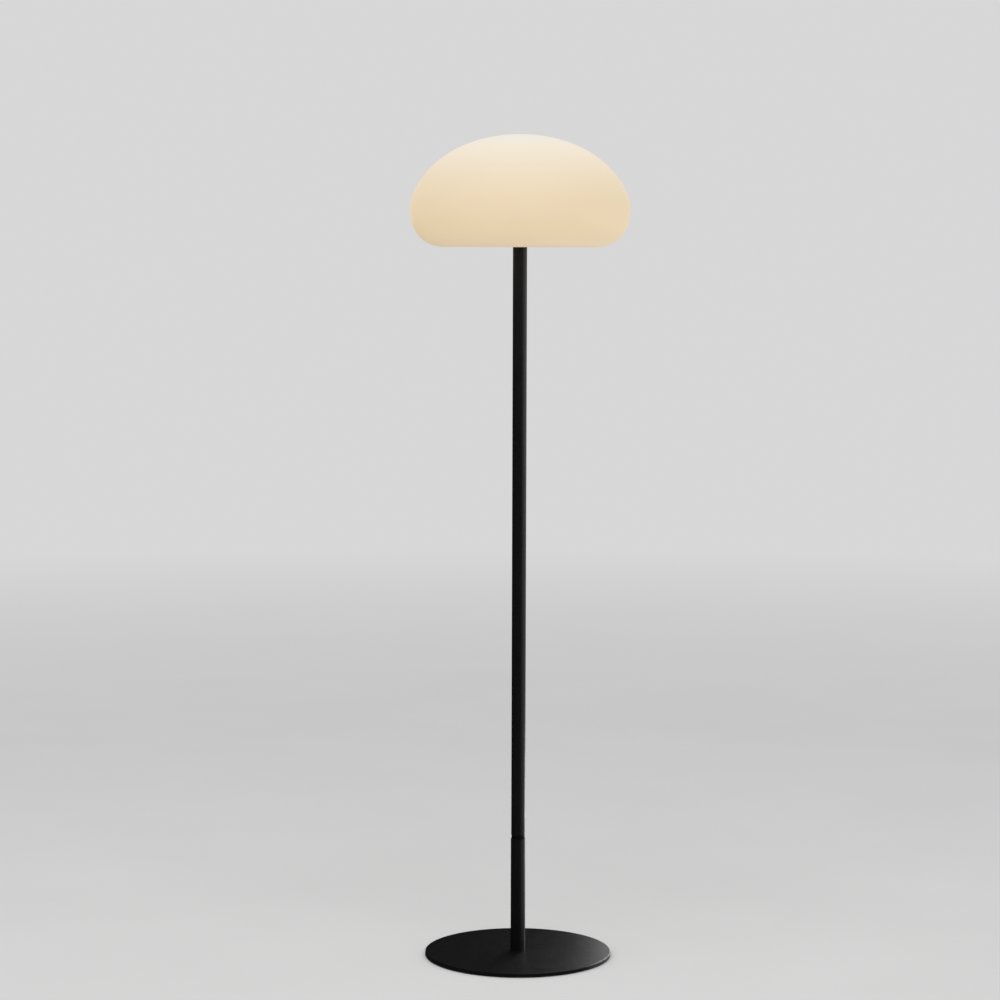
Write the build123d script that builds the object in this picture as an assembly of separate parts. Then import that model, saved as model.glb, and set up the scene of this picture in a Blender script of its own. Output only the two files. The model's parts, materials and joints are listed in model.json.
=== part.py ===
from build123d import *
import os
from math import cos, hypot, radians, sin, sqrt

# Cordless mushroom floor lamp: round base, slim two-part pole, opal shade with a light module
# in its floor. Millimetres, +Z up, origin on the floor in the middle of the base. The front is -Y.

os.makedirs("parts", exist_ok=True)

# ---------------------------------------------------------------- driving sizes
# base
base_radius = 146.0
plate_thick = 6.0
plate_edge = 1.0          # rounding of the plate's rims
pad_thick = 1.0
pad_inset = 3.5           # from the plate's rim to the pad's
pad_hole_margin = 6.0     # from the bolt's head to the pad's hole
bolt_radius = 5.0
bolt_grip = 20.0          # thread in the foot plug

# pole
lower_radius = 11.5
lower_wall = 1.5
lower_length = 179.0
collar_height = 6.0
collar_inset = 0.5        # how far the collar stays inside the stem's surface
stem_radius = 11.0
stem_wall = 1.5
stem_visible = 920.0      # from the collar to the underside of the shade
plug_length = 30.0
stud_radius = 5.0
stud_grip = 16.0          # thread in each plug

# fits, as radial or one-sided clearances
fit_gap = 0.05            # pressed or screwed
slip_gap = 0.15           # slides when it is put together
loose_gap = 0.5           # clears a moulded edge

# screws
flat_head_ratio = 1.8     # countersunk head radius to shank radius
pan_head_ratio = 1.9
key_ratio = 0.85          # hexagon key radius to shank radius
small_screw = 1.25
cover_screw = 1.5
flange_screw = 2.0
blind_tip = 1.0           # spare depth under a screw's tip

# shade
shade_radius = 170.0
shade_flat = 118.0        # radius of its flat floor
shade_belly = 57.0        # from its underside to the widest level
shade_dome = 116.0        # from the widest level to the top
rim_low_pull = 0.62       # how straight the rolled rim leaves the floor, as a share of its run
rim_side_pull = 0.56      # and how straight it reaches the widest level
dome_side_pull = 0.40     # how straight the dome leaves the widest level
dome_top_pull = 0.65      # and how flat it is at the top
shade_wall = 3.0
hole_gap = 1.0            # between the shade's hole and the module's cup
insert_radius = 3.0
insert_length = 8.0
boss_wall = 2.5

# light module
face_inset = 0.5          # its lower face lies this far above the shade's underside
flange_thick = 3.0
flange_width = 14.0
gasket_thick = 1.0
cup_wall = 2.5
deck_thick = 2.5
cover_thick = 3.0
bay_clear = 2.1           # from the widest thing inside to the cup's wall
bay_room = 10.1           # above the cells
column_radius = 4.0
column_inset = 5.5        # from the cup's inner wall to a column's axis
rib_thick = 3.0

# stem socket
socket_wall = 4.5
socket_depth = 21.0
washer_thick = 1.0
socket_thread = 10.0
socket_flange_width = 9.0
socket_flange_thick = 3.5

# battery pack
cell_radius = 9.2
cell_length = 65.0
cell_space = 0.6          # between the two cells
tray_floor = 1.5
tray_wall = 1.5
tray_gap = 0.3
tray_height = 10.0
contact_thick = 0.5
contact_width = 11.0
tray_space = 2.0          # from the stem socket to the tray

# control board
board_half = 30.0
board_thick = 1.6
board_space = 6.0         # from the stem socket to the board
standoff_height = 11.5
standoff_radius = 2.75
standoff_inset = 4.0

# power button
button_radius = 7.0
button_rim = 1.5
button_rim_thick = 1.2
button_dish = 0.6
button_travel = 1.0
post_radius = 2.0
switch_half = 3.0
switch_height = 3.5
plunger_radius = 1.6
plunger_out = 2.0
plunger_in = 0.8

# charging port
hatch_width = 19.2
hatch_length = 12.0
hatch_thick = 2.0
hatch_gap = 0.4
knuckle_radius = 1.5
pin_radius = 0.75
pin_seat = 3.0            # length of pin in each wall
ledge = 1.0               # stop that the closed hatch lies against
well_depth = 7.0
well_wall = 1.6
well_space = 4.0          # from the button's rim to the well
notch_radius = 5.0
notch_depth = 1.2
usb_half_width = 4.5
usb_half_thick = 1.6
usb_wall = 0.4
usb_depth = 5.5
usb_margin = 5.5          # from the socket's middle to the board's edge

# light source
sink_thick = 3.0
sink_margin = 2.0         # from the heat sink to the diffuser
led_board_thick = 1.6
led_board_margin = 10.0   # from the heat sink's rim to the board's
led_half = 1.5
led_thick = 0.7
led_ring_inner = 12.0
led_ring_outer = 26.0
deck_margin = 4.5
diffuser_rim_width = 9.5
diffuser_rim_thick = 2.0
diffuser_wall = 2.0
diffuser_height = 24.0
deck_boss_radius = 3.5
deck_boss_length = 6.0

# leads
lead_radius = 0.8
lead_bend = 4.0
lead_spread = 1.1         # half the distance between the two leads in the grommet
grommet_bore = 2.6
grommet_wall = 1.4
grommet_lip = 1.5
grommet_lip_thick = 1.0
plug_half = 4.0
plug_half_depth = 3.0
plug_height = 4.0

# ---------------------------------------------------------------- heights and places that follow
plate_low = pad_thick
plate_top = plate_low + plate_thick
lower_top = plate_top + lower_length
collar_top = lower_top + collar_height
shade_low = collar_top + stem_visible

face = shade_low + face_inset
flange_top = face + flange_thick
cover_top = face + cover_thick
stem_top = face + socket_depth
bore_top = stem_top + washer_thick
cells_low = cover_top + tray_floor
cells_top = cells_low + 2 * cell_radius
deck_low = max(cells_top + bay_room, bore_top + socket_thread + blind_tip)
deck_top = deck_low + deck_thick
socket_flange_low = deck_low - socket_flange_thick
recess_top = flange_top + gasket_thick
sink_top = deck_top + sink_thick
led_board_top = sink_top + led_board_thick

socket_bore = stem_radius + slip_gap
socket_radius = socket_bore + socket_wall
socket_flange_radius = socket_radius + socket_flange_width
socket_screw_ring = socket_radius + socket_flange_width / 2

cell_near = socket_radius + tray_space + tray_wall + tray_gap + cell_radius
cell_far = cell_near + 2 * cell_radius + cell_space
tray_near = cell_near - cell_radius - tray_gap - tray_wall
tray_far = cell_far + cell_radius + tray_gap + tray_wall
cell_end = cell_length / 2
tray_end = cell_end + contact_thick + tray_wall

board_near = socket_radius + board_space
button_at = board_near + button_radius + button_rim
well_near = button_at + button_radius + button_rim + well_space
hinge_at = well_near + hatch_gap + hatch_length
well_far = hinge_at + knuckle_radius + hatch_gap
usb_at = (well_near + ledge + well_far) / 2
board_far = usb_at + usb_margin
board_low = cover_top + standoff_height
board_top = board_low + board_thick
hinge_z = face + knuckle_radius
well_half = hatch_width / 2 + hatch_gap
well_top = face + well_depth

bay_radius = bay_clear + max(
    hypot(cell_end, cell_far + cell_radius),
    hypot(board_half, board_far),
    hypot(well_half + well_wall, well_far + well_wall),
)
cup_radius = bay_radius + cup_wall
flange_radius = cup_radius + flange_width
flange_screw_ring = cup_radius + flange_width / 2
column_ring = bay_radius - column_inset
cover_radius = bay_radius - loose_gap
hole_radius = cup_radius + hole_gap
recess_radius = flange_radius + loose_gap

diffuser_rim = cup_radius - deck_margin
diffuser_radius = diffuser_rim - diffuser_rim_width
diffuser_screw_ring = diffuser_rim - diffuser_rim_width / 2
diffuser_low = deck_top + gasket_thick
sink_radius = diffuser_radius - diffuser_wall - sink_margin
led_board_radius = sink_radius - led_board_margin
led_screw_ring = led_board_radius - led_board_margin / 2
lead_at = socket_flange_radius + grommet_bore + grommet_wall + grommet_lip

flange_screw_angles = [30 + 60 * k for k in range(6)]
column_angles = [45 + 90 * k for k in range(4)]
quarter_angles = [90 * k for k in range(4)]

LOW = (Align.CENTER, Align.CENTER, Align.MIN)


# ---------------------------------------------------------------- shapes used by several pieces
def rod(radius, low, high, x=0.0, y=0.0):
    """Upright cylinder between two heights."""
    return Pos(x, y, low) * Cylinder(radius, high - low, align=LOW)


def ring(outer, inner, low, high, x=0.0, y=0.0):
    """Upright tube between two heights."""
    return rod(outer, low, high, x, y) - rod(inner, low, high, x, y)


def slab(x_low, x_high, y_low, y_high, z_low, z_high):
    """Box between two corners."""
    box = Box(x_high - x_low, y_high - y_low, z_high - z_low, align=(Align.MIN,) * 3)
    return Pos(x_low, y_low, z_low) * box


def on_circle(radius, angles):
    """Points at the given angles, in degrees from +X."""
    return [(radius * cos(radians(a)), radius * sin(radians(a))) for a in angles]


def key_socket(radius, z, depth, x, y):
    """Hexagonal key hole, upwards from z."""
    return Pos(x, y, z) * extrude(RegularPolygon(key_ratio * radius, 6), depth)


def flat_hole(radius, length, z, x=0.0, y=0.0, gap=fit_gap):
    """Countersink and hole, upwards from z, for a flat-headed screw."""
    depth = (flat_head_ratio - 1) * radius
    head = Cone(flat_head_ratio * radius + gap, radius + gap, depth, align=LOW)
    return Pos(x, y, z) * head + rod(radius + gap, z, z + length, x, y)


def flat_screw(radius, length, z, x=0.0, y=0.0):
    """Flat-headed screw that points up, with its head's face at z."""
    body = flat_hole(radius, length, z, x, y, gap=0.0)
    return body - key_socket(radius, z, (flat_head_ratio - 1) * radius, x, y)


def pan_screw(radius, length, seat, x, y, up):
    """Pan-headed screw whose head bears on the seat's height."""
    head_radius = pan_head_ratio * radius
    if up:
        body = rod(head_radius, seat - radius, seat, x, y) + rod(radius, seat, seat + length, x, y)
        return body - key_socket(radius, seat - radius, radius / 2, x, y)
    body = rod(head_radius, seat, seat + radius, x, y) + rod(radius, seat - length, seat, x, y)
    return body - key_socket(radius, seat + radius / 2, radius / 2, x, y)


def group(pieces):
    """Separate solids that share a node."""
    return Compound(children=list(pieces))


def quarter_ellipse(radius, height, z):
    """Exact quarter of an ellipse in section, from its widest point up to the axis."""
    corner = [(radius, z), (radius, z + height), (0, z + height)]
    return Bezier(*corner, weights=[1, sqrt(0.5), 1])


def lead(points, bend):
    """Round insulated wire along straight runs joined by tangent arcs."""
    path = FilletPolyline(*points, radius=bend)
    section = Plane(origin=path @ 0, z_dir=path % 0) * Circle(lead_radius)
    return sweep(section, path=path)


# ---------------------------------------------------------------- base
def base_plate():
    body = rod(base_radius, plate_low, plate_top)
    rims = body.edges().filter_by(GeomType.CIRCLE)
    body = fillet(rims, min(plate_edge, 0.4 * plate_thick))
    return body - flat_hole(bolt_radius, plate_thick, plate_low)


def base_pad():
    hole = flat_head_ratio * bolt_radius + pad_hole_margin
    return ring(base_radius - pad_inset, hole, 0, pad_thick)


def base_bolt():
    return flat_screw(bolt_radius, plate_thick + bolt_grip, plate_low)


# ---------------------------------------------------------------- pole
def plug(tube_radius, wall, low, hole_radius, hole_low, hole_high):
    """Threaded steel plug pressed into a tube."""
    body = rod(tube_radius - wall - fit_gap, low, low + plug_length)
    return body - rod(hole_radius, hole_low, hole_high)


def lower_tube():
    return ring(lower_radius, lower_radius - lower_wall, plate_top, lower_top)


def lower_foot_plug():
    thread_top = plate_top + bolt_grip + blind_tip
    return plug(lower_radius, lower_wall, plate_top, bolt_radius + fit_gap, plate_top, thread_top)


def lower_head_plug():
    low = lower_top - plug_length
    thread_low = lower_top - stud_grip
    return plug(lower_radius, lower_wall, low, stud_radius + fit_gap, thread_low, lower_top)


def joint_collar():
    return ring(stem_radius - collar_inset, stud_radius + fit_gap, lower_top, collar_top)


def joint_stud():
    return rod(stud_radius, lower_top - stud_grip, collar_top + stud_grip)


def stem_tube():
    return ring(stem_radius, stem_radius - stem_wall, collar_top, stem_top)


def stem_bottom_plug():
    thread_top = collar_top + stud_grip + blind_tip
    return plug(stem_radius, stem_wall, collar_top, stud_radius + fit_gap, collar_top, thread_top)


def stem_top_plug():
    low = stem_top - plug_length
    return plug(stem_radius, stem_wall, low, stud_radius + fit_gap, stem_top - stud_grip, stem_top)


def head_stud():
    return rod(stud_radius, stem_top - stud_grip, bore_top + socket_thread)


def socket_washer():
    return ring(stem_radius, stud_radius + fit_gap, stem_top, bore_top)


# ---------------------------------------------------------------- stem socket
def stem_socket():
    """Turned hub: the stem's end slides in and the stud screws home above it."""
    body = rod(socket_radius, face, deck_low)
    body += rod(socket_flange_radius, socket_flange_low, deck_low)
    body -= rod(socket_bore, face, bore_top)
    body -= rod(stud_radius + fit_gap, bore_top, deck_low)
    for x, y in on_circle(socket_screw_ring, column_angles):
        body -= rod(flange_screw + fit_gap, socket_flange_low, deck_low, x, y)
    return body


def socket_screws():
    """They clamp the deck between the socket's flange and the heat sink."""
    length = socket_flange_thick + deck_thick + sink_thick - 0.5
    places = on_circle(socket_screw_ring, column_angles)
    return group(pan_screw(flange_screw, length, socket_flange_low, x, y, up=True) for x, y in places)


# ---------------------------------------------------------------- shade
def shade_form(inset):
    """Solid of revolution: flat floor, rolled rim and flattened dome, drawn in by the inset."""
    radius = shade_radius - inset
    low = shade_low + inset
    level = shade_low + shade_belly
    top = level + shade_dome - inset
    rim_low = (shade_flat + rim_low_pull * (radius - shade_flat), low)
    rim_side = (radius, level - rim_side_pull * (level - low))
    dome_side = (radius, level + dome_side_pull * (top - level))
    dome_top = (dome_top_pull * radius, top)
    lines = [
        Line((0, low), (shade_flat, low)),
        Bezier((shade_flat, low), rim_low, rim_side, (radius, level)),
        Bezier((radius, level), dome_side, dome_top, (0, top)),
        Line((0, top), (0, low)),
    ]
    return revolve(Plane.XZ * make_face(lines), Axis.Z)


def shade():
    """Opal shell with a stepped recess in its floor that the module's flange fills."""
    body = shade_form(0) - shade_form(shade_wall)
    body += rod(recess_radius + shade_wall, shade_low, recess_top + shade_wall)
    for x, y in on_circle(flange_screw_ring, flange_screw_angles):
        body += rod(insert_radius + boss_wall, recess_top, recess_top + insert_length + shade_wall, x, y)
    body -= rod(recess_radius, shade_low, recess_top)
    body -= rod(hole_radius, shade_low, recess_top + insert_length + 2 * shade_wall)
    for x, y in on_circle(flange_screw_ring, flange_screw_angles):
        body -= rod(insert_radius + fit_gap, recess_top, recess_top + insert_length, x, y)
    return body


def shade_inserts():
    places = on_circle(flange_screw_ring, flange_screw_angles)
    bore = flange_screw + fit_gap
    return group(ring(insert_radius, bore, recess_top, recess_top + insert_length, x, y) for x, y in places)


def shade_gasket():
    body = ring(flange_radius - loose_gap, hole_radius, flange_top, recess_top)
    for x, y in on_circle(flange_screw_ring, flange_screw_angles):
        body -= rod(flange_screw + slip_gap, flange_top, recess_top, x, y)
    return body


# ---------------------------------------------------------------- module housing and cover
def module_housing():
    """Cup with a flange at its mouth, a deck on top and four screw columns inside."""
    body = rod(flange_radius, face, flange_top) + rod(cup_radius, face, deck_top)
    body -= rod(bay_radius, face, deck_low)
    for angle, (x, y) in zip(column_angles, on_circle(column_ring, column_angles)):
        body += rod(column_radius, cover_top, deck_low, x, y)
        rib = slab(column_ring, bay_radius + cup_wall / 2, -rib_thick / 2, rib_thick / 2, cover_top, deck_low)
        body += Rot(0, 0, angle) * rib
        pilot_top = cover_top + 4 * cover_screw + blind_tip
        body -= rod(cover_screw + fit_gap, cover_top, pilot_top, x, y)
    for x, y in on_circle(flange_screw_ring, flange_screw_angles):
        body -= flat_hole(flange_screw, flange_thick, face, x, y)
    for x, y in on_circle(diffuser_screw_ring, quarter_angles):
        body += rod(deck_boss_radius, deck_low - deck_boss_length, deck_low, x, y)
        body -= rod(cover_screw + fit_gap, deck_low - deck_boss_length + blind_tip, deck_top, x, y)
    for x, y in on_circle(socket_screw_ring, column_angles):
        body -= rod(flange_screw + fit_gap, deck_low, deck_top, x, y)
    return body - rod(grommet_bore + grommet_wall, deck_low, deck_top, 0, -lead_at)


def flange_screws():
    length = flange_thick + gasket_thick + 0.75 * insert_length
    places = on_circle(flange_screw_ring, flange_screw_angles)
    return group(flat_screw(flange_screw, length, face, x, y) for x, y in places)


def cover_screws():
    length = cover_thick + 4 * cover_screw
    places = on_circle(column_ring, column_angles)
    return group(flat_screw(cover_screw, length, face, x, y) for x, y in places)


def board_corners():
    x = board_half - standoff_inset
    near = board_near + standoff_inset
    far = board_far - standoff_inset
    return [(-x, -near), (x, -near), (-x, -far), (x, -far)]


def tray_holes():
    y = (cell_near + cell_far) / 2
    return [(-cell_length / 4, y), (cell_length / 4, y)]


def bottom_cover():
    """Round cover with the stem's hole, the button's hole, the board's posts and the port well."""
    body = rod(cover_radius, face, cover_top)
    body += slab(-well_half - well_wall, well_half + well_wall, -well_far - well_wall,
                 -well_near + well_wall, face, well_top + well_wall)
    for x, y in board_corners():
        body += rod(standoff_radius, cover_top, board_low, x, y)
        body -= rod(small_screw + fit_gap, board_low - 4 * small_screw - blind_tip, board_low, x, y)
    for x, y in on_circle(column_ring, column_angles):
        body -= flat_hole(cover_screw, cover_thick, face, x, y)
    for x, y in tray_holes():
        body -= rod(small_screw + fit_gap, cover_top - 0.8 * cover_thick, cover_top, x, y)
    body -= rod(socket_radius + slip_gap, face, cover_top)
    body -= rod(button_radius + slip_gap, face, cover_top, 0, -button_at)
    return body - port_well() - hinge_holes() - usb_window() - finger_notch()


def port_well():
    """Mouth that the hatch fills, room for its knuckle, and the narrower well above its stop."""
    mouth = slab(-well_half, well_half, -well_far, -well_near, face, face + hatch_thick)
    knuckle_top = hinge_z + knuckle_radius + hatch_gap
    knuckle_side = hinge_at - knuckle_radius - hatch_gap
    knuckle = slab(-well_half, well_half, -well_far, -knuckle_side, face, knuckle_top)
    inner = slab(ledge - well_half, well_half - ledge, -well_far, -well_near - ledge, face, well_top)
    return mouth + knuckle + inner


def hinge_holes():
    reach = well_half + pin_seat
    return lying_rod(pin_radius + fit_gap, reach)


def lying_rod(radius, reach):
    """Cylinder along the hatch's hinge axis, to both sides of the middle."""
    return Pos(0, -hinge_at, hinge_z) * Rot(0, 90, 0) * Cylinder(radius, 2 * reach)


def usb_window():
    half_x = usb_half_width + slip_gap
    half_y = usb_half_thick + slip_gap
    return slab(-half_x, half_x, -usb_at - half_y, -usb_at + half_y, well_top, well_top + well_wall)


def finger_notch():
    return rod(notch_radius, face, face + notch_depth, 0, -well_near)


# ---------------------------------------------------------------- charging port
def port_hatch():
    half = hatch_width / 2
    body = slab(-half, half, -hinge_at, -hinge_at + hatch_length, face, face + hatch_thick)
    body += lying_rod(knuckle_radius, half)
    return body - lying_rod(pin_radius + fit_gap, half)


def hatch_pin():
    return lying_rod(pin_radius, well_half + pin_seat)


def usb_socket():
    """Shell with the tongue that the plug goes round."""
    body = slab(-usb_half_width, usb_half_width, -usb_at - usb_half_thick, -usb_at + usb_half_thick,
                well_top, board_low)
    half_x = usb_half_width - usb_wall
    half_y = usb_half_thick - usb_wall
    body -= slab(-half_x, half_x, -usb_at - half_y, -usb_at + half_y, well_top, well_top + usb_depth)
    tongue = slab(usb_wall - half_x, half_x - usb_wall, -usb_at - usb_wall, -usb_at + usb_wall,
                  well_top + usb_wall, well_top + usb_depth)
    return body + tongue


# ---------------------------------------------------------------- power button
plunger_low = board_low - switch_height - plunger_out


def power_button():
    """Dished cap, a rim that keeps it in the cover, and a post up to the switch."""
    body = rod(button_radius, face, cover_top, 0, -button_at)
    body += rod(button_radius + button_rim, cover_top, cover_top + button_rim_thick, 0, -button_at)
    body += rod(post_radius, cover_top, plunger_low, 0, -button_at)
    bowl = (button_radius ** 2 + button_dish ** 2) / (2 * button_dish)
    return body - Pos(0, -button_at, face + button_dish - bowl) * Sphere(bowl)


def switch_plunger():
    return rod(plunger_radius, plunger_low, board_low - switch_height + plunger_in, 0, -button_at)


def tact_switch():
    low = board_low - switch_height
    body = slab(-switch_half, switch_half, -button_at - switch_half, -button_at + switch_half,
                low, board_low)
    bore_high = low + plunger_in + button_travel + fit_gap
    return body - rod(plunger_radius + fit_gap, low, bore_high, 0, -button_at)


# ---------------------------------------------------------------- control board
def control_board():
    body = slab(-board_half, board_half, -board_far, -board_near, board_low, board_top)
    for x, y in board_corners():
        body -= rod(small_screw + slip_gap, board_low, board_top, x, y)
    return body


def board_screws():
    length = board_thick + 4 * small_screw
    return group(pan_screw(small_screw, length, board_top, x, y, up=False) for x, y in board_corners())


lead_plug_at = board_near + plug_half_depth + 1.0
battery_plug_at = board_half - plug_half - standoff_radius
battery_plug_y = (board_near + board_far) / 2


def board_parts():
    """Three lead connectors, the coil, the driver chip and two capacitors."""
    def block(half_x, half_y, height, x, y):
        return slab(x - half_x, x + half_x, y - half_y, y + half_y, board_top, board_top + height)

    back = -board_far + 7.0
    return group([
        block(plug_half, plug_half_depth, plug_height, 0, -lead_plug_at),
        block(plug_half_depth, plug_half, plug_height, -battery_plug_at, -battery_plug_y),
        block(plug_half_depth, plug_half, plug_height, battery_plug_at, -battery_plug_y),
        block(3.0, 3.0, 3.2, -10.0, -battery_plug_y),
        block(2.5, 2.5, 1.2, 10.0, -battery_plug_y),
        rod(3.0, board_top, board_top + 7.0, -10.0, back),
        rod(3.0, board_top, board_top + 7.0, 10.0, back),
    ])


# ---------------------------------------------------------------- battery pack
def battery_cells():
    def cell(y):
        lying = Rot(0, 90, 0) * Cylinder(cell_radius, cell_length)
        return Pos(0, y, cells_low + cell_radius) * lying

    return group([cell(cell_near), cell(cell_far)])


def battery_tray():
    """Open tray under the cells, with its corners cut to the cup."""
    high = cells_low + tray_height
    body = slab(-tray_end, tray_end, tray_near, tray_far, cover_top, high)
    inner_end = cell_end + contact_thick
    body -= slab(-inner_end, inner_end, tray_near + tray_wall, tray_far - tray_wall, cells_low, high)
    for x, y in tray_holes():
        body -= rod(small_screw + fit_gap, cover_top, cells_low, x, y)
    return body & rod(bay_radius - loose_gap, cover_top, high)


def battery_contacts():
    """Four nickel tabs between the cells' ends and the tray's end walls."""
    half = contact_width / 2
    tabs = []
    for y in (cell_near, cell_far):
        for x in (-cell_end - contact_thick, cell_end):
            tabs.append(slab(x, x + contact_thick, y - half, y + half, cells_low, cells_top))
    return group(tabs)


def tray_screws():
    length = tray_floor + 0.7 * cover_thick
    return group(pan_screw(small_screw, length, cells_low, x, y, up=False) for x, y in tray_holes())


# ---------------------------------------------------------------- light source
def heat_sink():
    body = rod(sink_radius, deck_top, sink_top)
    for x, y in on_circle(socket_screw_ring, column_angles):
        body -= rod(flange_screw + fit_gap, deck_top, sink_top, x, y)
    for x, y in on_circle(led_screw_ring, column_angles):
        body -= rod(cover_screw + fit_gap, deck_top, sink_top, x, y)
    return body - rod(grommet_bore + grommet_wall + grommet_lip + loose_gap, deck_top, sink_top, 0, -lead_at)


def led_board():
    body = rod(led_board_radius, sink_top, led_board_top)
    for x, y in on_circle(led_screw_ring, column_angles):
        body -= rod(cover_screw + fit_gap, sink_top, led_board_top, x, y)
    return body - rod(grommet_bore, sink_top, led_board_top, 0, -lead_at)


def led_screws():
    length = led_board_thick + sink_thick - 0.5
    places = on_circle(led_screw_ring, column_angles)
    return group(pan_screw(cover_screw, length, led_board_top, x, y, up=False) for x, y in places)


def led_chips():
    places = [(0, 0)] + on_circle(led_ring_inner, range(0, 360, 60))
    places += on_circle(led_ring_outer, range(15, 375, 30))
    return group(
        slab(x - led_half, x + led_half, y - led_half, y + led_half, led_board_top, led_board_top + led_thick)
        for x, y in places
    )


def led_plug():
    y = -lead_at
    return slab(-plug_half, plug_half, y - plug_half_depth, y + plug_half_depth,
                led_board_top, led_board_top + plug_height)


def half_ellipsoid(radius, height, z):
    """Upper half of an ellipsoid of revolution, with its flat side at z."""
    lines = [
        Line((0, z), (radius, z)),
        quarter_ellipse(radius, height, z),
        Line((0, z + height), (0, z)),
    ]
    return revolve(Plane.XZ * make_face(lines), Axis.Z)


def led_diffuser():
    """Small opal dome with a screwed rim."""
    body = rod(diffuser_rim, diffuser_low, diffuser_low + diffuser_rim_thick)
    body += half_ellipsoid(diffuser_radius, diffuser_height, diffuser_low)
    body -= half_ellipsoid(diffuser_radius - diffuser_wall, diffuser_height - diffuser_wall, diffuser_low)
    for x, y in on_circle(diffuser_screw_ring, quarter_angles):
        body -= rod(cover_screw + slip_gap, diffuser_low, diffuser_low + diffuser_rim_thick, x, y)
    return body


def diffuser_gasket():
    body = ring(diffuser_rim, diffuser_radius, deck_top, diffuser_low)
    for x, y in on_circle(diffuser_screw_ring, quarter_angles):
        body -= rod(cover_screw + slip_gap, deck_top, diffuser_low, x, y)
    return body


def diffuser_screws():
    seat = diffuser_low + diffuser_rim_thick
    length = diffuser_rim_thick + gasket_thick + deck_thick + deck_boss_length / 2
    places = on_circle(diffuser_screw_ring, quarter_angles)
    return group(pan_screw(cover_screw, length, seat, x, y, up=False) for x, y in places)


# ---------------------------------------------------------------- leads
def lead_grommet():
    """Rubber grommet in the deck, with a lip on each side."""
    outer = grommet_bore + grommet_wall
    y = -lead_at
    body = rod(outer, deck_low, deck_top, 0, y)
    body += rod(outer + grommet_lip, deck_low - grommet_lip_thick, deck_low, 0, y)
    body += rod(outer + grommet_lip, deck_top, deck_top + grommet_lip_thick, 0, y)
    return body - rod(grommet_bore, deck_low - grommet_lip_thick, deck_top + grommet_lip_thick, 0, y)


def led_leads():
    """Two leads from the board's connector through the grommet to the one on the light source."""
    start = board_top + plug_height
    rise = (deck_low - grommet_lip_thick - start) / 3
    wires = []
    for side in (-1, 1):
        points = [
            (side * 2 * lead_spread, -lead_plug_at, start),
            (side * 2 * lead_spread, -lead_plug_at, start + rise),
            (side * lead_spread, -lead_at, start + 2 * rise),
            (side * lead_spread, -lead_at, led_board_top),
        ]
        wires.append(lead(points, rise / 2))
    return group(wires)


def battery_leads():
    """A lead from each end of the pack, round the stem socket, to the board's side connectors."""
    high = cells_top - 3 * lead_radius
    out = tray_end + 2 * lead_bend
    start = board_top + plug_height
    wires = []
    for side in (-1, 1):
        points = [
            (side * (cell_end + contact_thick), cell_near, high),
            (side * out, cell_near, high),
            (side * out, 0, high),
            (side * battery_plug_at, -battery_plug_y, start + 2 * lead_bend),
            (side * battery_plug_at, -battery_plug_y, start),
        ]
        wires.append(lead(points, lead_bend))
    return group(wires)


# ---------------------------------------------------------------- one file for each piece
PIECES = [
    base_plate, base_pad, base_bolt,
    lower_tube, lower_foot_plug, lower_head_plug, joint_collar, joint_stud,
    stem_tube, stem_bottom_plug, stem_top_plug, head_stud, socket_washer,
    stem_socket, socket_screws,
    shade, shade_inserts, shade_gasket,
    module_housing, flange_screws, bottom_cover, cover_screws,
    port_hatch, hatch_pin, usb_socket,
    power_button, switch_plunger, tact_switch,
    control_board, board_screws, board_parts,
    battery_cells, battery_tray, battery_contacts, tray_screws,
    heat_sink, led_board, led_screws, led_chips, led_plug,
    led_diffuser, diffuser_gasket, diffuser_screws,
    lead_grommet, led_leads, battery_leads,
]

for piece in PIECES:
    export_step(piece(), f"parts/{piece.__name__}.step")
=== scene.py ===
import json
import math

import bpy
from mathutils import Matrix, Vector


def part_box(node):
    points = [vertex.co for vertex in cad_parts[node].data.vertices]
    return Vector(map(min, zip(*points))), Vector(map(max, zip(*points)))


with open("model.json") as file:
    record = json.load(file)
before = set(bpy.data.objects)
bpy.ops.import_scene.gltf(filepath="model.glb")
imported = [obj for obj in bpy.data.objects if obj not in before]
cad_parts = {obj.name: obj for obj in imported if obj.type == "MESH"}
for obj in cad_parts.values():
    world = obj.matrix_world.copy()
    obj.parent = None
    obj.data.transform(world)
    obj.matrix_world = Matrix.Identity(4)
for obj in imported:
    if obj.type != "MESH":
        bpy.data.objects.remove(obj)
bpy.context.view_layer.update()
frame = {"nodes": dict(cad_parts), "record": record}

# Looks of the mushroom floor lamp. Metres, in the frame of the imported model: +Z up, -Y the front,
# origin on the floor in the middle of the base.

# ---------------------------------------------------------------- the photograph's view
IMAGE_SIDE = 1000            # pixels, both ways
FOCAL_PIXELS = 2836
SENSOR = 36.0                # millimetres
CAMERA_HEIGHT = 1.113        # level with the underside of the shade
CAMERA_DISTANCE = 4.395
CAMERA_PITCH = math.radians(5.11)
CAMERA_YAW = math.radians(0.39)
CAMERA_ROLL = math.radians(0.15)

# ---------------------------------------------------------------- colours, linear
COAT_BLACK = (0.0060, 0.0060, 0.0062)
SHADE_WHITE = (0.38, 0.37, 0.35)

# the shade's glow, from its underside (0) to its top (1): warm and a little stronger low down,
# paler where the wall is further from the light source
GLOW = [
    (0.00, (0.50, 0.37, 0.20)),
    (0.15, (0.54, 0.39, 0.19)),
    (0.40, (0.50, 0.36, 0.17)),
    (0.60, (0.49, 0.37, 0.20)),
    (0.85, (0.52, 0.43, 0.30)),
    (1.00, (0.47, 0.45, 0.38)),
]


# ---------------------------------------------------------------- node helpers
def new_material(name):
    """A material with only a Principled shader and its output."""
    material = bpy.data.materials.new(name)
    material.use_nodes = True
    shader = material.node_tree.nodes["Principled BSDF"]
    return material, material.node_tree, shader


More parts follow.
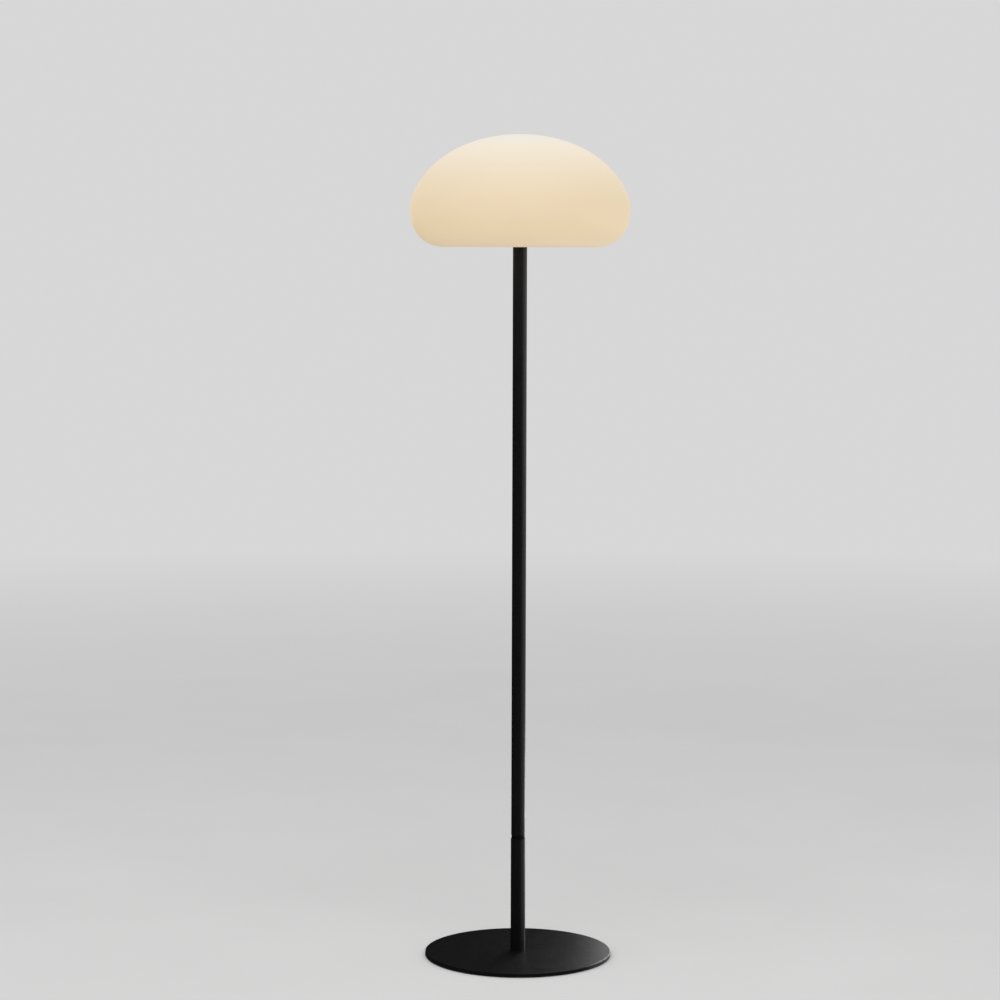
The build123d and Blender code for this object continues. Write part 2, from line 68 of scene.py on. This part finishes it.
def add(tree, kind, **values):
    """A node of that kind, with its properties and its inputs set by name."""
    node = tree.nodes.new(kind)
    for key, value in values.items():
        if hasattr(node, key):
            setattr(node, key, value)
        else:
            node.inputs[key.replace("_", " ")].default_value = value
    return node


def coordinates(tree, scale=(1.0, 1.0, 1.0)):
    """Object coordinates in metres, stretched by a scale."""
    source = add(tree, "ShaderNodeTexCoord")
    mapping = add(tree, "ShaderNodeMapping")
    mapping.inputs["Scale"].default_value = scale
    tree.links.new(source.outputs["Object"], mapping.inputs["Vector"])
    return mapping.outputs["Vector"]


def noise(tree, vector, scale, detail=3.0, roughness=0.55):
    """Noise of so many cells to the metre."""
    node = add(tree, "ShaderNodeTexNoise", Scale=scale, Detail=detail, Roughness=roughness)
    tree.links.new(vector, node.inputs["Vector"])
    return node.outputs["Fac"]


def between(tree, factor, low, high, start=0.3, end=0.7):
    """A number that goes from low to high as the factor goes from start to end."""
    node = add(tree, "ShaderNodeMapRange")
    for key, value in (("From Min", start), ("From Max", end), ("To Min", low), ("To Max", high)):
        node.inputs[key].default_value = value
    tree.links.new(factor, node.inputs["Value"])
    return node.outputs["Result"]


def tint(tree, factor, dark, light, start=0.3, end=0.7):
    """A colour that goes from dark to light as the factor goes from start to end."""
    node = add(tree, "ShaderNodeValToRGB")
    node.color_ramp.elements[0].position = start
    node.color_ramp.elements[0].color = (*dark, 1.0)
    node.color_ramp.elements[1].position = end
    node.color_ramp.elements[1].color = (*light, 1.0)
    tree.links.new(factor, node.inputs["Fac"])
    return node.outputs["Color"]


def bump(tree, height, distance, strength=1.0, below=None):
    """A bump of that depth in metres, on top of another one."""
    node = add(tree, "ShaderNodeBump", Strength=strength, Distance=distance)
    tree.links.new(height, node.inputs["Height"])
    if below is not None:
        tree.links.new(below, node.inputs["Normal"])
    return node.outputs["Normal"]


def scaled(color, factor):
    """A colour made lighter or darker, no lighter than white."""
    return tuple(min(1.0, c * factor) for c in color)


# ---------------------------------------------------------------- materials
UNEVEN_GLOSS = 0.04          # by which a coat's roughness goes up and down
UNEVEN_METAL = 0.06


def textured_coat(name, color, roughness, grain, depth, specular=0.5, mottle=0.12):
    """Paint, moulded plastic or rubber: an even colour with a fine grain and slightly uneven gloss."""
    material, tree, shader = new_material(name)
    place = coordinates(tree)
    cloud = noise(tree, place, 14.0)
    mottled = tint(tree, cloud, scaled(color, 1 - mottle), scaled(color, 1 + mottle))
    tree.links.new(mottled, shader.inputs["Base Color"])
    patches = noise(tree, place, 60.0)
    uneven = between(tree, patches, roughness - UNEVEN_GLOSS, roughness + UNEVEN_GLOSS)
    tree.links.new(uneven, shader.inputs["Roughness"])
    fine = noise(tree, place, grain, detail=2.0)
    tree.links.new(bump(tree, fine, depth, 0.6), shader.inputs["Normal"])
    shader.inputs["Specular IOR Level"].default_value = specular
    return material


def opal_shade(name):
    """Satin opal polyethylene that glows evenly, paler towards the top."""
    material, tree, shader = new_material(name)
    place = coordinates(tree)
    cloud = noise(tree, place, 9.0, detail=2.0)
    mottled = tint(tree, cloud, scaled(SHADE_WHITE, 0.985), scaled(SHADE_WHITE, 1.015))
    tree.links.new(mottled, shader.inputs["Base Color"])
    low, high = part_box("shade")
    split = add(tree, "ShaderNodeSeparateXYZ")
    tree.links.new(place, split.inputs["Vector"])
    level = between(tree, split.outputs["Z"], 0.0, 1.0, low.z, high.z)
    ramp = add(tree, "ShaderNodeValToRGB")
    ramp.color_ramp.interpolation = "LINEAR"
    points = ramp.color_ramp.elements
    while len(points) < len(GLOW):
        points.new(0.5)
    for point, (position, color) in zip(points, GLOW):
        point.position = position
        point.color = (*color, 1.0)
    tree.links.new(level, ramp.inputs["Fac"])
    tree.links.new(ramp.outputs["Color"], shader.inputs["Emission Color"])
    shader.inputs["Emission Strength"].default_value = 1.0
    shader.inputs["Roughness"].default_value = 0.5
    shader.inputs["Specular IOR Level"].default_value = 0.4
    shader.inputs["Sheen Weight"].default_value = 0.30
    shader.inputs["Sheen Roughness"].default_value = 0.2
    shader.inputs["Sheen Tint"].default_value = (1.0, 0.97, 0.90, 1.0)
    fine = noise(tree, place, 900.0, detail=2.0)
    wave = noise(tree, place, 26.0, detail=1.0)
    under = bump(tree, wave, 0.0006, 0.35)
    tree.links.new(bump(tree, fine, 0.00003, 0.5, below=under), shader.inputs["Normal"])
    return material


def metal(name, color, roughness, grain=(400.0, 400.0, 400.0), depth=0.00001):
    """Plated or bare metal with a directional grain."""
    material, tree, shader = new_material(name)
    place = coordinates(tree, grain)
    streak = noise(tree, place, 1.0, detail=4.0)
    streaked = tint(tree, streak, scaled(color, 0.88), scaled(color, 1.05))
    tree.links.new(streaked, shader.inputs["Base Color"])
    uneven = between(tree, streak, roughness - UNEVEN_METAL, roughness + UNEVEN_METAL)
    tree.links.new(uneven, shader.inputs["Roughness"])
    tree.links.new(bump(tree, streak, depth, 0.5), shader.inputs["Normal"])
    shader.inputs["Metallic"].default_value = 1.0
    return material


def glowing(name, color, glow, strength):
    """A lit source inside the shade."""
    material = textured_coat(name, color, 0.4, 1200.0, 0.00001)
    shader = material.node_tree.nodes["Principled BSDF"]
    shader.inputs["Emission Color"].default_value = (*glow, 1.0)
    shader.inputs["Emission Strength"].default_value = strength
    return material


# colour, roughness, cells of grain to the metre and the grain's depth in metres
COATS = {
    "black_powder_coat": dict(color=COAT_BLACK, roughness=0.42, grain=1400.0, depth=6e-5, specular=0.35),
    "pad_rubber": dict(color=(0.012, 0.012, 0.012), roughness=0.85, grain=1100.0, depth=1e-4, specular=0.2),
    "black_nylon": dict(color=(0.004, 0.004, 0.004), roughness=0.5, grain=1500.0, depth=3e-5, specular=0.1),
    "seal_rubber": dict(color=(0.02, 0.02, 0.02), roughness=0.7, grain=900.0, depth=4e-5, specular=0.3),
    # module and hatch: off-white plastic, tinted a little warm as painted glow from the lit shade around them
    "module_plastic": dict(color=(0.80, 0.775, 0.715), roughness=0.48, grain=1600.0, depth=4e-5, mottle=0.02),
    "hatch_plastic": dict(color=(0.78, 0.755, 0.695), roughness=0.48, grain=1600.0, depth=4e-5, mottle=0.02),
    "button_plastic": dict(color=(0.22, 0.22, 0.22), roughness=0.45, grain=1500.0, depth=4e-5, mottle=0.04),
    "tray_plastic": dict(color=(0.04, 0.04, 0.04), roughness=0.5, grain=900.0, depth=2e-5),
    "component_black": dict(color=(0.03, 0.03, 0.03), roughness=0.5, grain=900.0, depth=2e-5),
    "connector_white": dict(color=(0.84, 0.83, 0.78), roughness=0.35, grain=700.0, depth=1e-5, mottle=0.02),
    "white_board": dict(color=(0.82, 0.82, 0.80), roughness=0.3, grain=300.0, depth=3e-5, mottle=0.02),
    "green_board": dict(color=(0.03, 0.20, 0.09), roughness=0.3, grain=300.0, depth=3e-5),
    "cell_wrap": dict(color=(0.05, 0.22, 0.35), roughness=0.28, grain=200.0, depth=2e-5),
    "red_lead": dict(color=(0.45, 0.03, 0.03), roughness=0.45, grain=900.0, depth=1e-5),
    "white_lead": dict(color=(0.78, 0.77, 0.74), roughness=0.45, grain=900.0, depth=1e-5),
}

# colour, roughness and, for a turned or brushed finish, cells of grain to the metre along X, Y and Z
METALS = {
    "zinc_steel": dict(color=(0.55, 0.56, 0.57), roughness=0.34),
    "black_steel": dict(color=(0.05, 0.05, 0.052), roughness=0.4),
    "black_anodised": dict(color=(0.03, 0.03, 0.032), roughness=0.36, grain=(60.0, 60.0, 1800.0)),
    "brass_insert": dict(color=(0.72, 0.55, 0.28), roughness=0.3, grain=(900.0, 900.0, 60.0), depth=8e-5),
    "bare_aluminium": dict(color=(0.80, 0.80, 0.81), roughness=0.36, grain=(1200.0, 40.0, 200.0)),
    "nickel": dict(color=(0.70, 0.69, 0.66), roughness=0.24),
}

GLOWING = {
    "led_phosphor": dict(color=(0.88, 0.70, 0.24), glow=(1.0, 0.80, 0.45), strength=1.5),
    "opal_diffuser": dict(color=(0.85, 0.83, 0.79), glow=(1.0, 0.85, 0.62), strength=0.5),
}

MATERIALS = {"opal_shade": opal_shade("opal_shade")}
for make, looks in ((textured_coat, COATS), (metal, METALS), (glowing, GLOWING)):
    for slot, look in looks.items():
        MATERIALS[slot] = make(slot, **look)

for part in frame["record"]["subparts"]:
    mesh = frame["nodes"][part["node"]].data
    mesh.materials.clear()
    mesh.materials.append(MATERIALS[part["material_slot"]])


# ---------------------------------------------------------------- floor, light and camera
BACKGROUND = 0.68            # what the camera and reflections see; 1 is white
WORLD_FILL = 0.60            # what lights the object from all round
FLOOR_WHITE = 0.84
FLOOR_RADIUS = 6.0
FLOOR_SIDES = 96
FADE_START = 2.2             # beyond this the floor fades into the background
UNDER_PAD = 0.003            # by which the floor reaches under the base's pad
SCREEN_RADIUS = 0.55
SCREEN_HEIGHT = 1.10
SCREEN_GAP = 0.001           # between the base and the screen's flat part
SCREEN_LIFT = 0.0005         # of that part off the floor
SCREEN_START, SCREEN_END = 76.0, 322.0    # degrees from +X: it is open on the right
SCREEN_STEPS = 48

# name, place, target, width, height, watts, and whether only reflections see it
LIGHTS = [
    ("overhead", (0.0, -1.6, 3.4), (0.0, 0.0, 0.9), 2.5, 2.5, 34.0, False),
    ("right_strip", (1.25, 0.15, 0.90), (0.0, 0.0, 0.90), 1.5, 0.66, 1.95, True),
    ("low_back_strip", (0.31, 0.42, 0.12), (0.12, 0.0, 0.0), 0.26, 0.24, 0.85, True),
]


def link(thing):
    """Put an object in the scene."""
    bpy.context.scene.collection.objects.link(thing)
    return thing


def pale_floor_material():
    """Pale matt floor that fades into the background, and is clear from below."""
    material, tree, shader = new_material("pale_floor")
    place = coordinates(tree)
    cloud = noise(tree, place, 3.0)
    mottled = tint(tree, cloud, (FLOOR_WHITE - 0.01,) * 3, (FLOOR_WHITE + 0.01,) * 3)
    tree.links.new(mottled, shader.inputs["Base Color"])
    shader.inputs["Roughness"].default_value = 0.9
    shader.inputs["Specular IOR Level"].default_value = 0.0
    away = add(tree, "ShaderNodeVectorMath", operation="LENGTH")
    tree.links.new(place, away.inputs[0])
    fade = between(tree, away.outputs["Value"], 0.0, 1.0, FADE_START, FLOOR_RADIUS)
    side = add(tree, "ShaderNodeNewGeometry")
    clear = add(tree, "ShaderNodeMath", operation="MAXIMUM")
    tree.links.new(fade, clear.inputs[0])
    tree.links.new(side.outputs["Backfacing"], clear.inputs[1])
    nothing = add(tree, "ShaderNodeBsdfTransparent")
    mix = add(tree, "ShaderNodeMixShader")
    tree.links.new(clear.outputs["Value"], mix.inputs["Fac"])
    tree.links.new(shader.outputs["BSDF"], mix.inputs[1])
    tree.links.new(nothing.outputs["BSDF"], mix.inputs[2])
    tree.links.new(mix.outputs["Shader"], tree.nodes["Material Output"].inputs["Surface"])
    return material


def floor():
    """Round floor, with a hole under the base's pad so that the pad gets light from below."""
    mesh = bpy.data.meshes.new("floor")
    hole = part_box("base_pad")[1].x - UNDER_PAD
    turns = [2 * math.pi * k / FLOOR_SIDES for k in range(FLOOR_SIDES)]
    points = [(radius * math.cos(turn), radius * math.sin(turn), 0.0)
              for radius in (hole, FLOOR_RADIUS) for turn in turns]
    faces = []
    for k in range(FLOOR_SIDES):
        after = (k + 1) % FLOOR_SIDES
        faces.append((k, FLOOR_SIDES + k, FLOOR_SIDES + after, after))
    mesh.from_pydata(points, [], faces)
    mesh.materials.append(pale_floor_material())
    link(bpy.data.objects.new("floor", mesh))


def reflection_screen():
    """Dark screen round the pole, upright and on the floor, that only reflections see."""
    mesh = bpy.data.meshes.new("reflection_screen")
    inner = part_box("base_plate")[1].x + SCREEN_GAP
    profile = [(inner, SCREEN_LIFT), (SCREEN_RADIUS, SCREEN_LIFT), (SCREEN_RADIUS, SCREEN_HEIGHT)]
    points = []
    for k in range(SCREEN_STEPS + 1):
        angle = math.radians(SCREEN_START + (SCREEN_END - SCREEN_START) * k / SCREEN_STEPS)
        points += [(radius * math.cos(angle), radius * math.sin(angle), height)
                   for radius, height in profile]
    row = len(profile)
    faces = [(a, a + 1, a + row + 1, a + row)
             for k in range(SCREEN_STEPS) for a in (row * k, row * k + 1)]
    mesh.from_pydata(points, [], faces)
    material, tree, shader = new_material("dark_felt")
    shader.inputs["Base Color"].default_value = (0.03, 0.03, 0.03, 1.0)
    shader.inputs["Roughness"].default_value = 1.0
    shader.inputs["Specular IOR Level"].default_value = 0.0
    mesh.materials.append(material)
    screen = link(bpy.data.objects.new("reflection_screen", mesh))
    screen.visible_camera = False
    screen.visible_diffuse = False
    screen.visible_shadow = False
    screen.visible_transmission = False


def area_light(name, place, target, width, height, watts, only_gloss):
    """A soft light that lights the object, or one that only its reflections see."""
    data = bpy.data.lights.new(name, "AREA")
    data.shape = "RECTANGLE"
    data.size = width
    data.size_y = height
    data.energy = watts
    lamp = link(bpy.data.objects.new(name, data))
    lamp.location = place
    lamp.rotation_euler = (Vector(target) - Vector(place)).to_track_quat("-Z", "Y").to_euler()
    lamp.visible_camera = False
    lamp.visible_glossy = only_gloss
    lamp.visible_diffuse = not only_gloss


def surroundings():
    """Pale background for the camera and for reflections, and a softer fill for the rest."""
    world = bpy.data.worlds.new("studio")
    bpy.context.scene.world = world
    world.use_nodes = True
    tree = world.node_tree
    fill = tree.nodes["Background"]
    fill.inputs["Color"].default_value = (1, 1, 1, 1)
    fill.inputs["Strength"].default_value = WORLD_FILL
    pale = add(tree, "ShaderNodeBackground", Color=(1, 1, 1, 1), Strength=BACKGROUND)
    paths = add(tree, "ShaderNodeLightPath")
    seen = add(tree, "ShaderNodeMath", operation="MAXIMUM")
    tree.links.new(paths.outputs["Is Camera Ray"], seen.inputs[0])
    tree.links.new(paths.outputs["Is Glossy Ray"], seen.inputs[1])
    also = add(tree, "ShaderNodeMath", operation="MAXIMUM")
    tree.links.new(seen.outputs["Value"], also.inputs[0])
    tree.links.new(paths.outputs["Is Transmission Ray"], also.inputs[1])
    mix = add(tree, "ShaderNodeMixShader")
    tree.links.new(also.outputs["Value"], mix.inputs["Fac"])
    tree.links.new(fill.outputs["Background"], mix.inputs[1])
    tree.links.new(pale.outputs["Background"], mix.inputs[2])
    tree.links.new(mix.outputs["Shader"], tree.nodes["World Output"].inputs["Surface"])


def camera():
    """The photograph's camera."""
    data = bpy.data.cameras.new("camera")
    data.sensor_width = SENSOR
    data.lens = SENSOR * FOCAL_PIXELS / IMAGE_SIDE
    data.clip_start = 0.05
    data.clip_end = 60.0
    eye = link(bpy.data.objects.new("camera", data))
    eye.location = (0.0, -CAMERA_DISTANCE, CAMERA_HEIGHT)
    look = Matrix.Rotation(CAMERA_YAW, 4, "Z") @ Matrix.Rotation(math.pi / 2 - CAMERA_PITCH, 4, "X")
    eye.rotation_euler = (look @ Matrix.Rotation(CAMERA_ROLL, 4, "Z")).to_euler()
    bpy.context.scene.camera = eye


floor()
reflection_screen()
for light in LIGHTS:
    area_light(*light)
surroundings()
camera()
bpy.context.scene.view_settings.view_transform = "Standard"
